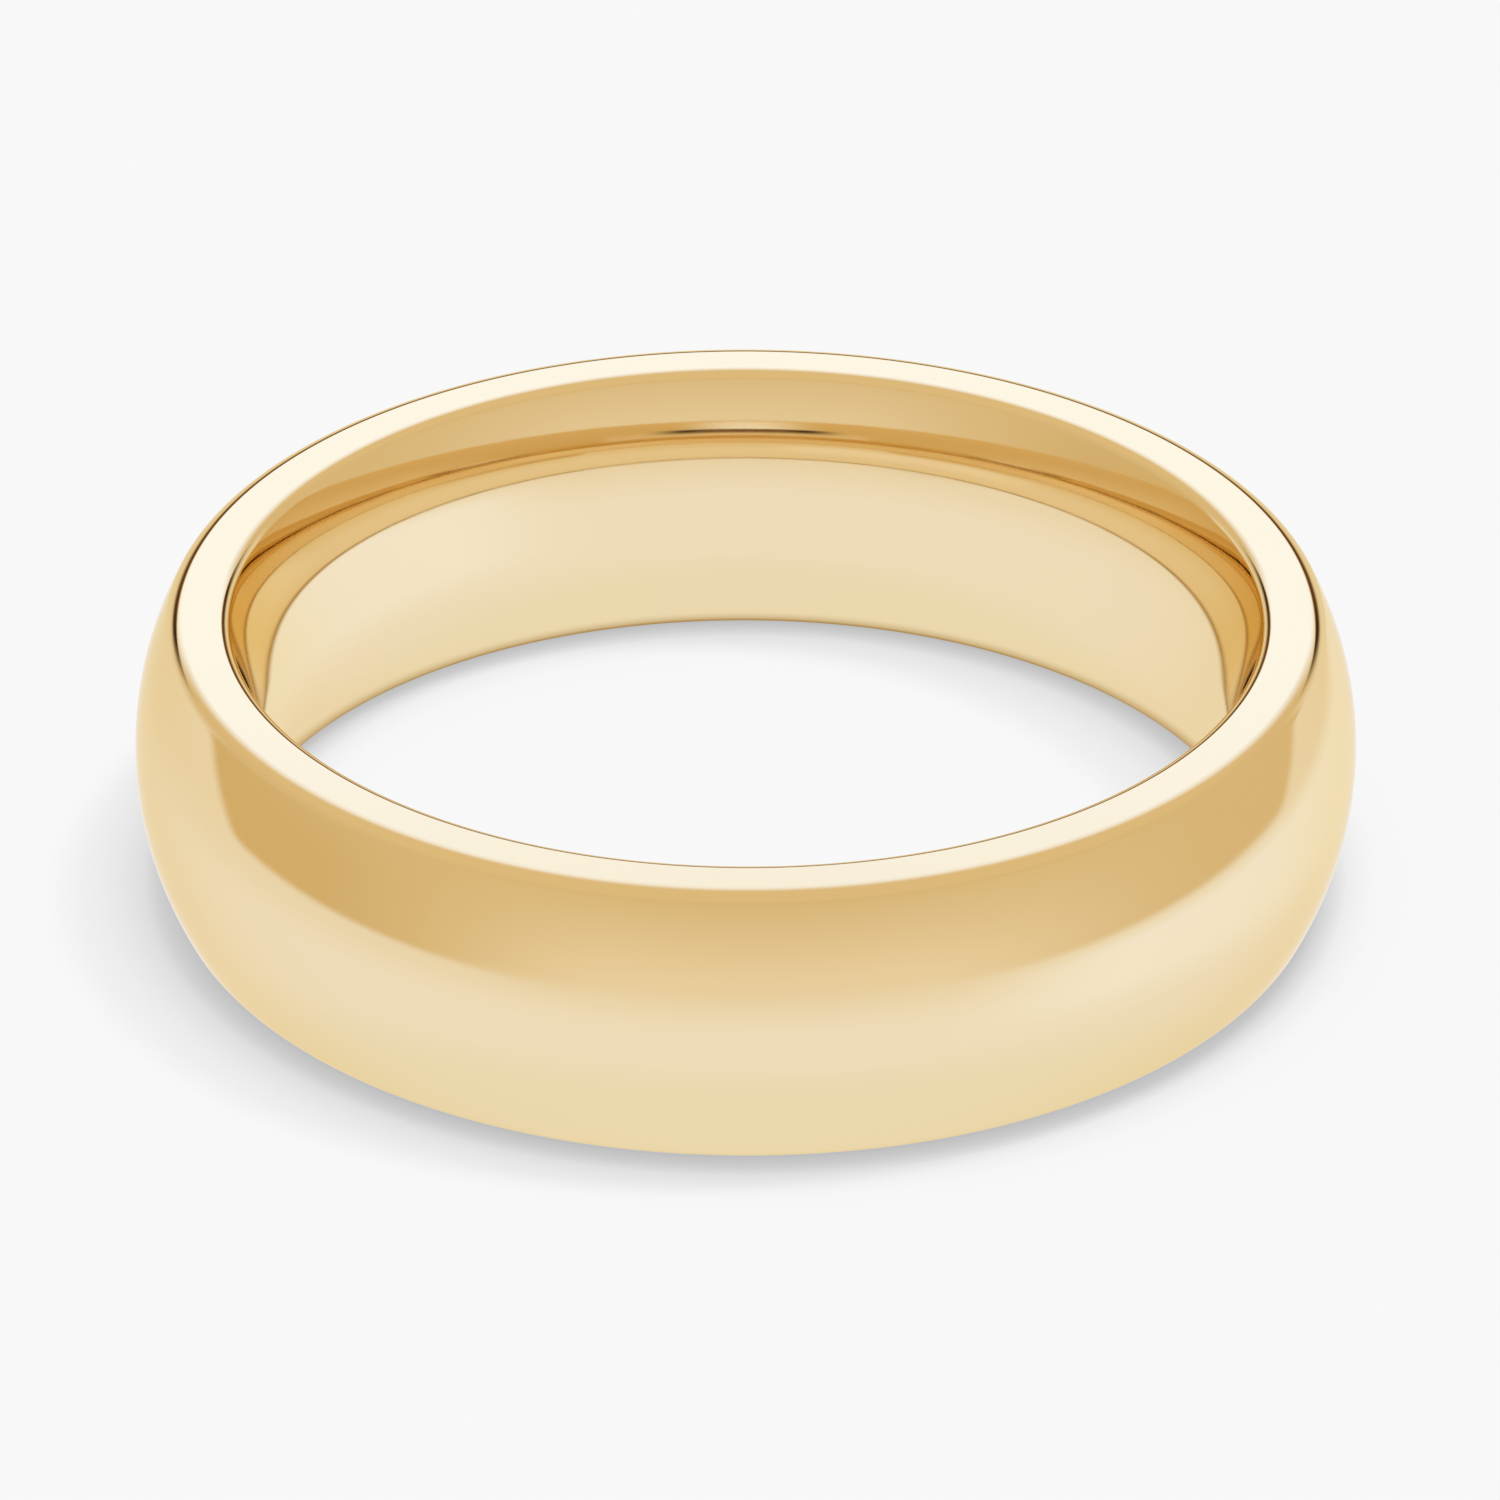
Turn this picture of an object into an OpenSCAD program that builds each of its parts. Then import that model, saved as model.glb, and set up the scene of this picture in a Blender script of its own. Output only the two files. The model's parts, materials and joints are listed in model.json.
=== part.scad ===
// Wedding band: one solid ring of gold with a domed outside and a comfort-fit inside.
// Millimetres. The origin is the centre of the finger hole, halfway across the width.
// +Z runs along the finger, so the two flat rims face +Z and -Z.

/* [Size] */
// Diameter of the finger hole at its narrowest part
finger_d = 19.84; // [14:0.02:24]
// Width of the band, measured along the finger
band_w = 6; // [5:0.5:6.5]
// Thickness of the wall at the crown of the dome
wall_t = 2.49; // [2.4:0.01:3]

/* [Outside] */
// Radius of the dome, measured across the width of the band
dome_r = 6.2; // [6:0.05:12]
// Radius of the rounded edge between the dome and each flat rim
outer_edge_r = 0.375; // [0.2:0.005:0.4]

/* [Inside] */
// Length of the straight cylinder in the middle of the finger hole
bore_l = 0.58; // [0.2:0.02:1.2]
// Radius of the comfort curve that opens the hole towards each rim
comfort_r = 6.63; // [6:0.01:9]
// Radius of the rounded edge between the comfort curve and each flat rim
inner_edge_r = 0.26; // [0.1:0.01:0.3]

/* [Hidden] */

bore_r = finger_d / 2;
crown_r = bore_r + wall_t;
half_w = band_w / 2;
half_bore = bore_l / 2;

// Centres of the dome arc and of the comfort arc, measured out from the axis.
dome_x = crown_r - dome_r;
comfort_x = bore_r + comfort_r;

// Height of the rounded edges' centres above the middle of the band.
outer_edge_y = half_w - outer_edge_r;
inner_edge_y = half_w - inner_edge_r;

// Each rounded edge touches the flat rim and its arc, which puts its centre here.
outer_edge_x = dome_x + sqrt(pow(dome_r - outer_edge_r, 2) - pow(outer_edge_y, 2));
inner_edge_x = comfort_x
    - sqrt(pow(comfort_r - inner_edge_r, 2) - pow(inner_edge_y - half_bore, 2));

// A sector reaches this many times the distance from its tip to the edge's centre.
reach = 2;

// The block between the two flat rims.
module rim_block() {
    translate([inner_edge_x, -half_w])
        square([outer_edge_x - inner_edge_x, band_w]);
}

// The domed outside: a slice of the dome circle that ends where the rounded edges start,
// and that starts no nearer the axis than the centres of the inner edges.
module dome_slice() {
    out = reach * (outer_edge_x - dome_x);
    up = reach * outer_edge_y;
    intersection() {
        translate([dome_x, 0]) circle(r = dome_r, $fn = 240);
        polygon([[dome_x, 0], [dome_x + out, -up], [dome_x + out, up]]);
        translate([inner_edge_x, -half_w]) square([wall_t, band_w]);
    }
}

// One comfort curve: a slice of the comfort circle, from the straight cylinder
// up to the rounded edge, and no further out than that edge's centre.
module comfort_slice() {
    back = reach * (comfort_x - inner_edge_x);
    up = reach * (inner_edge_y - half_bore);
    tip = [comfort_x, half_bore];
    intersection() {
        translate(tip) circle(r = comfort_r, $fn = 240);
        polygon([tip, tip + [-back, up], tip + [-back, 0]]);
        square([inner_edge_x, half_w]);
    }
}

// The straight cylinder that touches the finger, as it is cut by the section plane.
module bore_strip() {
    translate([bore_r, -half_bore])
        square([inner_edge_x - bore_r, bore_l]);
}

// The parts of the section that are the same above and below the middle.
module edge_half() {
    translate([outer_edge_x, outer_edge_y]) circle(r = outer_edge_r, $fn = 48);
    translate([inner_edge_x, inner_edge_y]) circle(r = inner_edge_r, $fn = 48);
    comfort_slice();
}

// The whole cross-section, to the right of the axis.
module section() {
    rim_block();
    dome_slice();
    bore_strip();
    edge_half();
    mirror([0, 1]) edge_half();
}

module band() {
    color("gold") rotate_extrude($fn = 240) section();
}

band();
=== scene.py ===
import json
import math

import bpy
from mathutils import Matrix, Vector


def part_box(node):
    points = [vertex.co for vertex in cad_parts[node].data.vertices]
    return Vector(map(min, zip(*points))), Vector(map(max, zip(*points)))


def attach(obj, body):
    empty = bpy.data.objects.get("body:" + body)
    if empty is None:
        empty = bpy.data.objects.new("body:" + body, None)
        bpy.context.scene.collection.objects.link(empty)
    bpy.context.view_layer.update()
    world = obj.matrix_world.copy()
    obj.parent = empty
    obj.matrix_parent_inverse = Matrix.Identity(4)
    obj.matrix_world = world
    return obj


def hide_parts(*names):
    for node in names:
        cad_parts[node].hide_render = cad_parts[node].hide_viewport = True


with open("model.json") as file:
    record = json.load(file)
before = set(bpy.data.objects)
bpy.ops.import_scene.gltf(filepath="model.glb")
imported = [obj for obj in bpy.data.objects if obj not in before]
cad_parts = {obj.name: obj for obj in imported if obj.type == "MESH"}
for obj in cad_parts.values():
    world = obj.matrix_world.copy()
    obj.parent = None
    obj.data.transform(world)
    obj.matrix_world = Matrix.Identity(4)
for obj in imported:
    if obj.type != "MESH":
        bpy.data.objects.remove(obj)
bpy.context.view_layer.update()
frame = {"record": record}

MM = 0.001

# ---------------------------------------------------------------- band, in millimetres
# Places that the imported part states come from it. The radii of the section are its own.
BOX_LO, BOX_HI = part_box("band")
BORE = next(m for m in frame["record"]["mounts"] if m["name"] == "finger_bore")["dims"]
BORE_R = BORE["r_mm"]
HALF_BORE = BORE["length_mm"] / 2
HALF_W = (BOX_HI[2] - BOX_LO[2]) / 2 / MM
CROWN_R = 12.41
DOME_R = 6.2
OUTER_EDGE_R = 0.375
COMFORT_R = 6.63
INNER_EDGE_R = 0.26

# Straight pieces that stand for each arc of the section and for one full turn of the band.
DOME_STEPS = 30
OUTER_EDGE_STEPS = 18
INNER_EDGE_STEPS = 16
COMFORT_STEPS = 22
TURN_STEPS = 480
# A short flat strip beside each arc keeps the smooth shading of the arc off the flat next to it.
GUARD = 0.012


def arc(centre, radius, start, end, steps):
    """Points on an arc of the section, from angle start to angle end, in degrees."""
    points = []
    for i in range(steps + 1):
        a = math.radians(start + (end - start) * i / steps)
        points.append((centre[0] + radius * math.cos(a), centre[1] + radius * math.sin(a)))
    return points


def section():
    """The closed section to the right of the axis, as (radius, height) points."""
    dome_x = CROWN_R - DOME_R
    edge_z = HALF_W - OUTER_EDGE_R
    edge_x = dome_x + math.sqrt((DOME_R - OUTER_EDGE_R) ** 2 - edge_z ** 2)
    dome_end = math.degrees(math.atan2(edge_z, edge_x - dome_x))
    comfort_x = BORE_R + COMFORT_R
    lip_z = HALF_W - INNER_EDGE_R
    lip_x = comfort_x - math.sqrt((COMFORT_R - INNER_EDGE_R) ** 2 - (lip_z - HALF_BORE) ** 2)
    lip_end = math.degrees(math.atan2(lip_z - HALF_BORE, comfort_x - lip_x))
    upper = arc((dome_x, 0), DOME_R, 0, dome_end, DOME_STEPS)
    upper += arc((edge_x, edge_z), OUTER_EDGE_R, dome_end, 90, OUTER_EDGE_STEPS)[1:]
    upper += [(edge_x - GUARD, HALF_W), ((edge_x + lip_x) / 2, HALF_W), (lip_x + GUARD, HALF_W)]
    upper += arc((lip_x, lip_z), INNER_EDGE_R, 90, 180 - lip_end, INNER_EDGE_STEPS)
    upper += arc((comfort_x, HALF_BORE), COMFORT_R, 180 - lip_end, 180, COMFORT_STEPS)[1:]
    upper += [(BORE_R, HALF_BORE - GUARD), (BORE_R, 0)]
    lower = [(r, -z) for r, z in reversed(upper)]
    return upper + lower[1:-1]


def lathe(name, outline, steps):
    """A ring mesh: the section turned about +Z."""
    verts, faces = [], []
    rows = len(outline)
    for step in range(steps):
        angle = 2 * math.pi * step / steps
        across, along = math.cos(angle), math.sin(angle)
        verts += [(r * across * MM, r * along * MM, z * MM) for r, z in outline]
    for step in range(steps):
        here, there = step * rows, (step + 1) % steps * rows
        for i in range(rows):
            j = (i + 1) % rows
            faces.append((here + i, there + i, there + j, here + j))
    mesh = bpy.data.meshes.new(name)
    mesh.from_pydata(verts, [], faces)
    mesh.polygons.foreach_set("use_smooth", [True] * len(faces))
    mesh.update()
    piece = bpy.data.objects.new(name, mesh)
    bpy.context.scene.collection.objects.link(piece)
    return piece


# ---------------------------------------------------------------- gold
YELLOW_GOLD = (0.902, 0.752, 0.492)
PALE_GOLD = (0.896, 0.748, 0.497)
EDGE_TINT = (0.94, 0.84, 0.62)
MIRROR = (0.035, 0.06)
# Noise settings are (scale, detail, roughness); the spans are the noise values in use.
TONE_NOISE = (0.16, 3.0)
TONE_SPAN = (0.35, 0.65)
LINE_NOISE = (0.6, 3.0, 0.6)
LINE_SPAN = (0.3, 0.7)
RIPPLE_NOISE = (0.35, 1.0)
# How much the lathe lines change round the band and across it.
LINES_AROUND = 0.9
LINES_ACROSS = 16.0
# Heights of the two bumps, in metres.
RIPPLE_HEIGHT = 1.2e-6
LINE_HEIGHT = 1.6e-8


class Graph:
    """Short ways to add nodes to one node tree."""

    def __init__(self, tree):
        self.nodes, self.links = tree.nodes, tree.links

    def put(self, socket, value):
        if isinstance(value, bpy.types.NodeSocket):
            self.links.new(value, socket)
        elif isinstance(value, tuple):
            socket.default_value = (*value, 1) if len(socket.default_value) == 4 else value
        else:
            socket.default_value = value

    def math(self, op, *values):
        node = self.nodes.new("ShaderNodeMath")
        node.operation = op
        for socket, value in zip(node.inputs, values):
            self.put(socket, value)
        return node.outputs[0]

    def product(self, *masks):
        result = masks[0]
        for mask in masks[1:]:
            result = self.math("MULTIPLY", result, mask)
        return result

    def ramp(self, value, start, end, low=0.0, high=1.0, kind="SMOOTHSTEP"):
        """low where value is at start and high where it is at end; start may be the higher."""
        if start > end:
            start, end, low, high = end, start, high, low
        node = self.nodes.new("ShaderNodeMapRange")
        node.interpolation_type = kind
        for name, number in (("From Min", start), ("From Max", end),
                             ("To Min", low), ("To Max", high), ("Value", value)):
            self.put(node.inputs[name], number)
        return node.outputs["Result"]

    def window(self, value, rise, fall):
        """1 between two ramps, each given as (none, full), and 0 outside them."""
        return self.product(self.ramp(value, *rise), self.ramp(value, *fall))

    def mix(self, mask, under, over):
        node = self.nodes.new("ShaderNodeMix")
        node.data_type = "RGBA"
        self.put(node.inputs["Factor"], mask)
        self.put(node.inputs[6], under)
        self.put(node.inputs[7], over)
        return node.outputs[2]

    def vector(self, x, y, z):
        node = self.nodes.new("ShaderNodeCombineXYZ")
        for socket, value in zip(node.inputs, (x, y, z)):
            self.put(socket, value)
        return node.outputs[0]

    def noise(self, vector, scale, detail=2.0, roughness=0.5):
        node = self.nodes.new("ShaderNodeTexNoise")
        self.put(node.inputs["Vector"], vector)
        self.put(node.inputs["Scale"], scale)
        self.put(node.inputs["Detail"], detail)
        self.put(node.inputs["Roughness"], roughness)
        return node.outputs["Fac"]

    def place_mm(self):
        """The place on the piece, in millimetres, and its distance from the +Z axis."""
        split = self.nodes.new("ShaderNodeSeparateXYZ")
        self.put(split.inputs[0], self.nodes.new("ShaderNodeTexCoord").outputs["Object"])
        x, y, z = (self.math("MULTIPLY", axis, 1 / MM) for axis in split.outputs)
        radius = self.math("SQRT", self.math("ADD", self.product(x, x), self.product(y, y)))
        return x, y, z, radius

    def bump(self, height, distance, normal=None):
        node = self.nodes.new("ShaderNodeBump")
        self.put(node.inputs["Height"], height)
        self.put(node.inputs["Distance"], distance)
        if normal is not None:
            self.put(node.inputs["Normal"], normal)
        return node.outputs["Normal"]


def polished_gold():
    """Mirror-polished yellow gold with faint lathe lines that run round the band."""
    material = bpy.data.materials.new("gold")
    material.use_nodes = True
    g = Graph(material.node_tree)
    bsdf = g.nodes["Principled BSDF"]
    x, y, z, radius = g.place_mm()
    around = [g.math("MULTIPLY", g.math("DIVIDE", axis, radius), LINES_AROUND * CROWN_R)
              for axis in (x, y)]
    across = g.math("MULTIPLY", g.math("ADD", radius, z), LINES_ACROSS)
    lines = g.noise(g.vector(*around, across), *LINE_NOISE)
    ripple = g.noise(g.vector(x, y, z), *RIPPLE_NOISE)
    tone = g.noise(g.vector(x, y, z), *TONE_NOISE)
    g.put(bsdf.inputs["Base Color"], g.mix(g.ramp(tone, *TONE_SPAN), YELLOW_GOLD, PALE_GOLD))
    g.put(bsdf.inputs["Roughness"], g.ramp(lines, *LINE_SPAN, *MIRROR))
    g.put(bsdf.inputs["Metallic"], 1.0)
    g.put(bsdf.inputs["Specular Tint"], EDGE_TINT)
    waves = g.bump(ripple, RIPPLE_HEIGHT)
    g.put(bsdf.inputs["Normal"], g.bump(lines, LINE_HEIGHT, waves))
    return material


gold = polished_gold()
band = lathe("band_polished", section(), TURN_STEPS)
band.data.materials.append(gold)
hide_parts("band")
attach(band, "root")

# ---------------------------------------------------------------- stage
FLOOR_HALF = 3.0
PAPER = (0.9, 0.9, 0.9)
# Painted shade in the crease where the band meets the paper, from ambient occlusion: its tone,
# and its width in millimetres.
PAINTED_CREASE_SHADE = (0.66, 0.66, 0.66)
PAINTED_SHADE_WIDTH = 0.6
# The part of the paper that the gold mirrors: clear, full, full and clear again, by radius.
FOOT = (10.2, 10.6, 10.9, 11.1)
# Painted shade and gold bounce light: the dark warm tone that the crease shows in the gold.
CREASE_SHADE_PAINTED_FOR_GOLD = (0.60, 0.40, 0.13)


def matt_paper():
    """White paper with painted shade in the crease at the band's foot.

    The gold mirrors only the crease, painted there in a dark warm shade; past that it mirrors
    the studio's floor tones.
    """
    material = bpy.data.materials.new("paper")
    material.use_nodes = True
    g = Graph(material.node_tree)
    bsdf = g.nodes["Principled BSDF"]
    radius = g.place_mm()[-1]
    foot = g.product(g.ramp(radius, FOOT[0], FOOT[1]), g.ramp(radius, FOOT[3], FOOT[2]))
    glossy = g.nodes.new("ShaderNodeLightPath").outputs["Is Glossy Ray"]
    clear = g.product(glossy, g.math("SUBTRACT", 1, foot))
    occlusion = g.nodes.new("ShaderNodeAmbientOcclusion")
    occlusion.samples = 8
    g.put(occlusion.inputs["Distance"], PAINTED_SHADE_WIDTH * MM)
    # Painted shade: the paper's colour is darker towards the crease, by ambient occlusion.
    shaded = g.mix(occlusion.outputs["AO"], PAINTED_CREASE_SHADE, PAPER)
    # Painted shade for glossy rays: the gold mirrors the paper in the dark warm crease tone.
    g.put(bsdf.inputs["Base Color"], g.mix(glossy, shaded, CREASE_SHADE_PAINTED_FOR_GOLD))
    g.put(bsdf.inputs["Alpha"], g.math("SUBTRACT", 1, clear))
    g.put(bsdf.inputs["Roughness"], 1.0)
    g.put(bsdf.inputs["Specular IOR Level"], 0.0)
    return material


corners = [(i * FLOOR_HALF, j * FLOOR_HALF, -HALF_W * MM)
           for i, j in ((-1, -1), (1, -1), (1, 1), (-1, 1))]
floor_mesh = bpy.data.meshes.new("floor")
floor_mesh.from_pydata(corners, [], [(0, 1, 2, 3)])
floor = bpy.data.objects.new("floor", floor_mesh)
bpy.context.scene.collection.objects.link(floor)
floor_mesh.materials.append(matt_paper())

# ---------------------------------------------------------------- studio
# What the gold mirrors, as radiance by direction.
WALLS = (0.765, 0.615, 0.37)
HIGH_WALLS = (0.80, 0.645, 0.388)
LEFT_WALL = (0.72, 0.545, 0.285)
LOW_FRONT = (0.90, 0.81, 0.66)
REAR_PANELS = (0.91, 0.86, 0.76)
SOFTBOX = (1.107, 1.263, 1.665)
FLAG = (0.014, 0.005, 0.003)
FLAG_MIDDLE = (0.14, 0.06, 0.017)
FLOOR_FAR = (0.91, 0.87, 0.79)
FLOOR_NEAR = (0.95, 0.94, 0.96)
FLOOR_UNDER = (0.92, 0.91, 0.85)
RIGHT_FILL = (1.0, 1.03, 1.12)

# Where each tone fades in, as (none, full) in degrees. Turn is 0 on the camera's side and 90
# at +X, height is measured up from the horizon, and from_front is the turn without its sign.
HIGH_WALLS_HEIGHT = (28, 45)
LEFT_WALL_TURN = (-55, -85)
LEFT_WALL_HEIGHT = (26, -2)
LOW_FRONT_TURN = ((-66, -20), (96, 24))
LOW_FRONT_HEIGHT = (25, -6)
REAR_LEFT_TURN = (-116, -122)
REAR_RIGHT_TURN = (125, 131)
REAR_LEAN = 1.1
REAR_HEIGHT = (28, -4)
SOFTBOX_FROM_FRONT = (144, 178)
SOFTBOX_HEIGHT = ((24, 26), (78, 34))
SOFTBOX_HOT_EDGE = (30.5, 28.4)
SOFTBOX_BODY = 0.75
FLAG_FROM_FRONT = (134, 156)
FLAG_HEIGHT = ((9, 19), (25.2, 22.8))
FLAG_MIDDLE_FROM_FRONT = (150, 166)
FLOOR_NEAR_HEIGHT = (-13, -27)
FLOOR_UNDER_HEIGHT = (-38, -55)
RIGHT_FILL_TURN = ((35, 75), (175, 150))
RIGHT_FILL_HEIGHT = ((-12, -18), (-40, -27))
BESIDE_FROM_FRONT = (30, 60)
HORIZON_BESIDE = (-14, -11)
HORIZON_AHEAD = (-17, -7)

# What the camera sees past the floor, and the even light that falls on the floor.
BACKDROP = (0.939, 0.939, 0.939)
AMBIENT = (0.739, 0.739, 0.739)

# Name, spread in degrees, power, and tilt from the right and from the back in degrees.
OVERHEADS = [
    ("key", 10, 0.26, 20.0, 7.0),
    ("fill", 27, 0.52, 3.5, 0.0),
    ("wide", 56, 0.20, 0.0, 0.0),
]


def floor_tones(g, turn, height):
    """The floor as the gold mirrors it, with a cool fill light on its right."""
    tone = g.mix(g.ramp(height, *FLOOR_NEAR_HEIGHT), FLOOR_FAR, FLOOR_NEAR)
    tone = g.mix(g.ramp(height, *FLOOR_UNDER_HEIGHT), tone, FLOOR_UNDER)
    fill = g.product(g.window(turn, *RIGHT_FILL_TURN), g.window(height, *RIGHT_FILL_HEIGHT))
    return g.mix(fill, tone, RIGHT_FILL)


def wall_tones(g, turn, from_front, height):
    """The walls, the rear panels, the soft box high at the back and the flag under it."""
    tone = g.mix(g.ramp(height, *HIGH_WALLS_HEIGHT), WALLS, HIGH_WALLS)
    left = g.product(g.ramp(turn, *LEFT_WALL_TURN), g.ramp(height, *LEFT_WALL_HEIGHT))
    tone = g.mix(left, tone, LEFT_WALL)
    low_front = g.product(g.window(turn, *LOW_FRONT_TURN),
                          g.ramp(height, *LOW_FRONT_HEIGHT, kind="LINEAR"))
    tone = g.mix(low_front, tone, LOW_FRONT)
    lean = g.math("MULTIPLY", g.math("MINIMUM", height, 0), REAR_LEAN)
    rear = g.math("MAXIMUM", g.ramp(g.math("ADD", turn, lean), *REAR_LEFT_TURN),
                  g.ramp(g.math("SUBTRACT", turn, lean), *REAR_RIGHT_TURN))
    tone = g.mix(g.product(rear, g.ramp(height, *REAR_HEIGHT)), tone, REAR_PANELS)
    softbox = g.product(g.ramp(from_front, *SOFTBOX_FROM_FRONT),
                        g.window(height, *SOFTBOX_HEIGHT),
                        g.ramp(height, *SOFTBOX_HOT_EDGE, low=SOFTBOX_BODY))
    tone = g.mix(softbox, tone, SOFTBOX)
    flag = g.product(g.ramp(from_front, *FLAG_FROM_FRONT), g.window(height, *FLAG_HEIGHT))
    flag_tone = g.mix(g.ramp(from_front, *FLAG_MIDDLE_FROM_FRONT), FLAG, FLAG_MIDDLE)
    return g.mix(flag, tone, flag_tone)


def studio():
    """The world: one look for the gold, one for the floor's light and one for the camera."""
    world = bpy.data.worlds.new("studio")
    bpy.context.scene.world = world
    world.cycles.sampling_method = "NONE"
    world.use_nodes = True
    g = Graph(world.node_tree)
    ray = g.nodes.new("ShaderNodeSeparateXYZ")
    g.put(ray.inputs[0], g.nodes.new("ShaderNodeTexCoord").outputs["Generated"])
    to_degrees = 180 / math.pi
    height = g.math("MULTIPLY", g.math("ARCSINE", ray.outputs["Z"]), to_degrees)
    toward_camera = g.math("MULTIPLY", ray.outputs["Y"], -1)
    turn = g.math("MULTIPLY", g.math("ARCTAN2", ray.outputs["X"], toward_camera), to_degrees)
    from_front = g.math("ABSOLUTE", turn)

    beside = g.ramp(from_front, *BESIDE_FROM_FRONT)
    ahead = g.math("SUBTRACT", 1, beside)
    above_floor = g.math("ADD", g.product(beside, g.ramp(height, *HORIZON_BESIDE)),
                         g.product(ahead, g.ramp(height, *HORIZON_AHEAD)))
    mirrored = g.mix(above_floor, floor_tones(g, turn, height),
                     wall_tones(g, turn, from_front, height))
    path = g.nodes.new("ShaderNodeLightPath")
    seen = g.mix(path.outputs["Is Diffuse Ray"], mirrored, AMBIENT)
    seen = g.mix(path.outputs["Is Camera Ray"], seen, BACKDROP)
    g.put(g.nodes["Background"].inputs["Color"], seen)


def overhead(name, spread, power, from_right, from_back):
    """A lamp above the band. Only the floor shows its light and the band's shadow."""
    lamp = bpy.data.lights.new("overhead_" + name, "SUN")
    lamp.energy = power
    lamp.angle = math.radians(spread)
    lamp.cycles.use_multiple_importance_sampling = False
    light = bpy.data.objects.new("overhead_" + name, lamp)
    light.rotation_euler = (math.radians(-from_back), math.radians(from_right), 0)
    light.visible_glossy = False
    bpy.context.scene.collection.objects.link(light)


studio()
for settings in OVERHEADS:
    overhead(*settings)
band.visible_diffuse = False
bpy.context.scene.view_settings.view_transform = "Standard"

# ---------------------------------------------------------------- camera
# Angles in degrees, distances in metres, focal length and sensor in millimetres.
ELEVATION = 28.98
ROLL = -0.154
DISTANCE = 0.2411
AIM_RIGHT = 0.0857 * MM
AIM_UP = -0.245 * MM
LENS = 284.3
SENSOR = 36
CLIP = (0.01, 20)

cam_data = bpy.data.cameras.new("camera")
cam_data.sensor_width = SENSOR
cam_data.lens = LENS
cam_data.clip_start, cam_data.clip_end = CLIP
cam = bpy.data.objects.new("camera", cam_data)
bpy.context.scene.collection.objects.link(cam)
elevation, roll = math.radians(ELEVATION), math.radians(ROLL)
right = Vector((1, 0, 0))
up = Vector((0, math.sin(elevation), math.cos(elevation)))
forward = Vector((0, math.cos(elevation), -math.sin(elevation)))
image_right = math.cos(roll) * right - math.sin(roll) * up
image_up = math.sin(roll) * right + math.cos(roll) * up
cam.matrix_world = Matrix((image_right, image_up, -forward)).transposed().to_4x4()
cam.location = AIM_RIGHT * image_right + AIM_UP * image_up - DISTANCE * forward
bpy.context.scene.camera = cam
